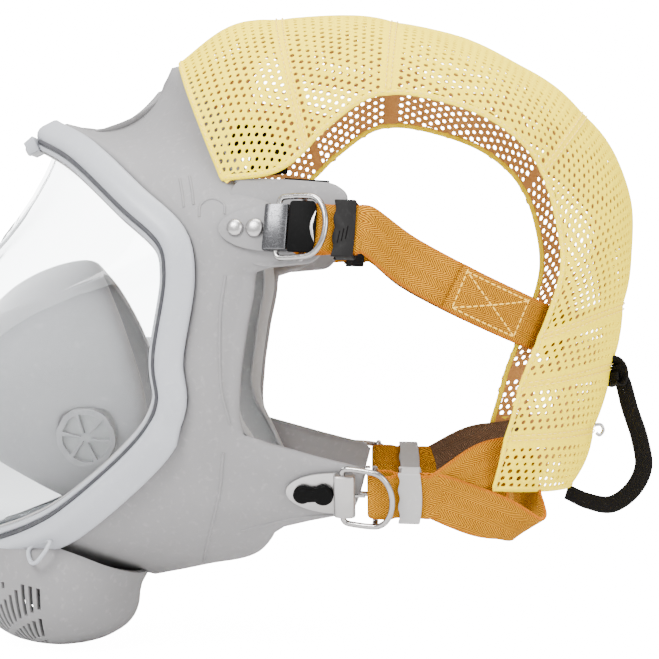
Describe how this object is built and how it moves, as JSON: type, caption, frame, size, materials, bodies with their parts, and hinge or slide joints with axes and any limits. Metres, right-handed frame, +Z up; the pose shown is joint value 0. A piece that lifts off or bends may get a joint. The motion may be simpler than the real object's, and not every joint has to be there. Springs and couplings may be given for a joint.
{
  "type": "breathing apparatus facepiece",
  "caption": "Full-face breathing mask with a clear wrap-round lens, rubber face blank, chin valve housing, buckled straps and an open mesh head net.",
  "frame": {"origin": "the middle of the head that wears the mask, on the plane of symmetry", "axes": "+Y towards the back of the head, so the wearer looks along -Y; +Z up; +X to the wearer's left"},
  "size_m": [0.1766, 0.3178, 0.275],
  "materials": {
    "grey_rubber": "matt",
    "light_grey_plastic": "satin",
    "clear_lens": "clear polished",
    "bright_steel": "bright",
    "dark_plastic": "satin",
    "black_rubber": "matt",
    "tan_webbing": "woven herringbone",
    "yellow_mesh": "open knitted mesh",
    "black_webbing": "flat woven"
  },
  "bodies": {
    "facepiece": {"cheek_clip_left": "bright_steel", "cheek_clip_right": "bright_steel", "cheek_strap_left": "tan_webbing", "cheek_strap_right": "tan_webbing", "cheek_stud_left": "black_rubber", "cheek_stud_right": "black_rubber", "chin_cover": "grey_rubber", "exhale_seat": "light_grey_plastic", "exhale_spring": "bright_steel", "face_blank": "grey_rubber", "face_seal": "grey_rubber", "forehead_tab_left": "black_rubber", "forehead_tab_right": "black_rubber", "frame_clamp": "light_grey_plastic", "frame_clamp_screw": "bright_steel", "head_net": "yellow_mesh", "inhale_seat_left": "grey_rubber", "inhale_seat_right": "grey_rubber", "inlet_port": "light_grey_plastic", "lens": "clear_lens", "lens_frame_left": "light_grey_plastic", "lens_frame_right": "light_grey_plastic", "nape_loop": "black_webbing", "nose_cup": "grey_rubber", "port_nut": "light_grey_plastic", "port_seal": "black_rubber", "speech_diaphragm": "bright_steel", "speech_ring": "light_grey_plastic", "strap_eyelet_left": "light_grey_plastic", "strap_eyelet_right": "light_grey_plastic", "temple_clip_left": "bright_steel", "temple_clip_right": "bright_steel", "temple_patch_left": "tan_webbing", "temple_patch_right": "tan_webbing", "temple_strap_left": "tan_webbing", "temple_strap_right": "tan_webbing", "temple_stud_front_left": "bright_steel", "temple_stud_front_right": "bright_steel", "temple_stud_rear_left": "bright_steel", "temple_stud_rear_right": "bright_steel", "wire_hook": "bright_steel"},
    "temple_left": {"temple_ring_left": "bright_steel", "temple_bar_left": "bright_steel", "temple_slide_left": "dark_plastic", "temple_pad_left": "black_rubber"},
    "temple_right": {"temple_ring_right": "bright_steel", "temple_bar_right": "bright_steel", "temple_slide_right": "dark_plastic", "temple_pad_right": "black_rubber"},
    "cheek_left": {"cheek_ring_left": "bright_steel", "cheek_bar_left": "bright_steel", "cheek_slide_left": "light_grey_plastic", "cheek_tongue_left": "bright_steel"},
    "cheek_right": {"cheek_ring_right": "bright_steel", "cheek_bar_right": "bright_steel", "cheek_slide_right": "light_grey_plastic", "cheek_tongue_right": "bright_steel"},
    "exhale_valve": {"exhale_disc": "grey_rubber"},
    "inhale_valve_left": {"inhale_disc_left": "grey_rubber"},
    "inhale_valve_right": {"inhale_disc_right": "grey_rubber"}
  },
  "joints": [
    {"name": "temple_left_ring_hinge", "type": "hinge", "parent": "facepiece", "child": "temple_left", "pos_m": [0.07792, -0.0487, 0.02724], "axis": [0.2214, -0.0628, -0.9732], "range_deg": [0, 45], "deforming": ["temple_strap_left"]},
    {"name": "temple_right_ring_hinge", "type": "hinge", "parent": "facepiece", "child": "temple_right", "pos_m": [-0.07792, -0.0487, 0.02724], "axis": [0.2214, 0.0628, 0.9732], "range_deg": [0, 45], "deforming": ["temple_strap_right"]},
    {"name": "cheek_left_ring_hinge", "type": "hinge", "parent": "facepiece", "child": "cheek_left", "pos_m": [0.06258, -0.02328, -0.08121], "axis": [-0.3781, 0.0057, -0.9257], "range_deg": [0, 45], "deforming": ["cheek_strap_left"]},
    {"name": "cheek_right_ring_hinge", "type": "hinge", "parent": "facepiece", "child": "cheek_right", "pos_m": [-0.06258, -0.02328, -0.08121], "axis": [-0.3781, -0.0057, 0.9257], "range_deg": [0, 45], "deforming": ["cheek_strap_right"]},
    {"name": "exhale_valve_lift", "type": "slide", "parent": "facepiece", "child": "exhale_valve", "axis": [0, -0.3, -0.9539], "range_m": [0, 0.003], "stiffness_N_per_m": 60, "springref_m": -0.002, "deforming": ["exhale_spring"]},
    {"name": "inhale_valve_left_lift", "type": "slide", "parent": "facepiece", "child": "inhale_valve_left", "axis": [-0.9738, 0.1312, 0.1858], "range_m": [0, 0.0015], "stiffness_N_per_m": 20, "springref_m": -0.001},
    {"name": "inhale_valve_right_lift", "type": "slide", "parent": "facepiece", "child": "inhale_valve_right", "axis": [0.9738, 0.1312, 0.1858], "range_m": [0, 0.0015], "stiffness_N_per_m": 20, "springref_m": -0.001}
  ]
}
